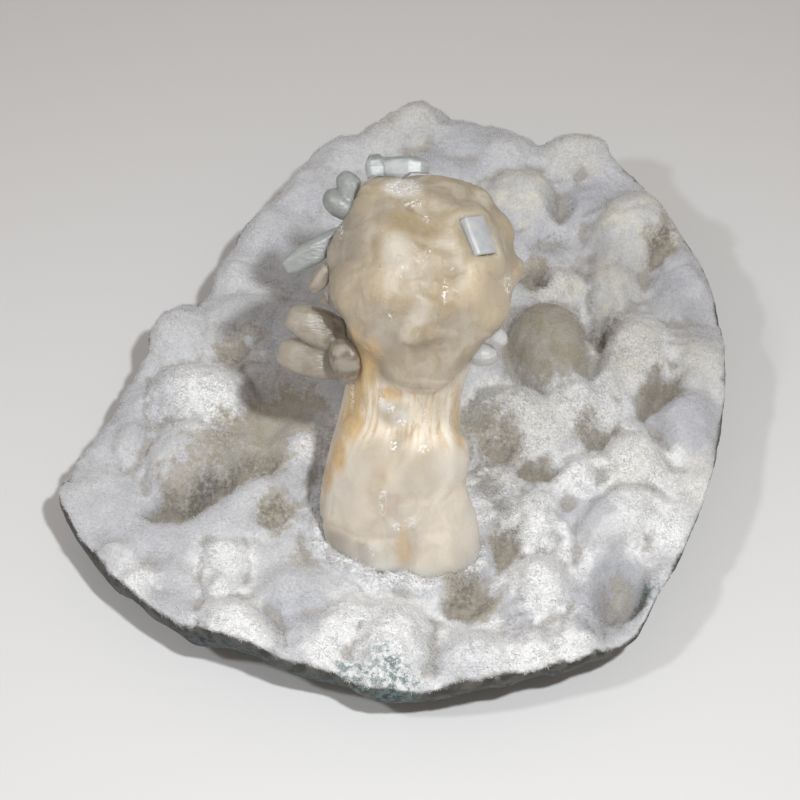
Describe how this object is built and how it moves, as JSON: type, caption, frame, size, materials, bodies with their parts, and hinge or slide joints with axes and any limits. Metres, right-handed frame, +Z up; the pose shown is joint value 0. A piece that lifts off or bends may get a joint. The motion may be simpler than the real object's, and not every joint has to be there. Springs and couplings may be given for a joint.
{
  "type": "stilbite with chalcedony",
  "caption": "Mineral specimen: a waxy stilbite sheaf with small clear crystals, standing on a plate of fuzzy white chalcedony.",
  "frame": {"origin": "middle of the outline of the plate, on the flat ground base", "axes": "+Z up from the base, -Y at the sawn front where the column stands, +X to the right as seen from the front"},
  "size_m": [0.1148, 0.1272, 0.0734],
  "materials": {
    "chalcedony": "matt, fuzzy with fine white fibres, grey-green rind below the rim",
    "stilbite": "waxy, translucent cream to peach",
    "pale_stilbite": "waxy to glassy, translucent",
    "clear_crystal": "clear, glassy",
    "pearly_crystal": "pearly, faintly blue white"
  },
  "bodies": {
    "root": {"chalcedony_crust": "chalcedony", "stilbite_column": "stilbite", "side_sheaf": "pale_stilbite", "left_blade_upper": "pale_stilbite", "left_blade_middle": "pale_stilbite", "left_blade_lower": "pale_stilbite", "left_buds": "pale_stilbite", "clear_plate": "clear_crystal", "clear_grain_large": "clear_crystal", "clear_grain_small": "clear_crystal", "pearly_tablet": "pearly_crystal"}
  },
  "joints": []
}
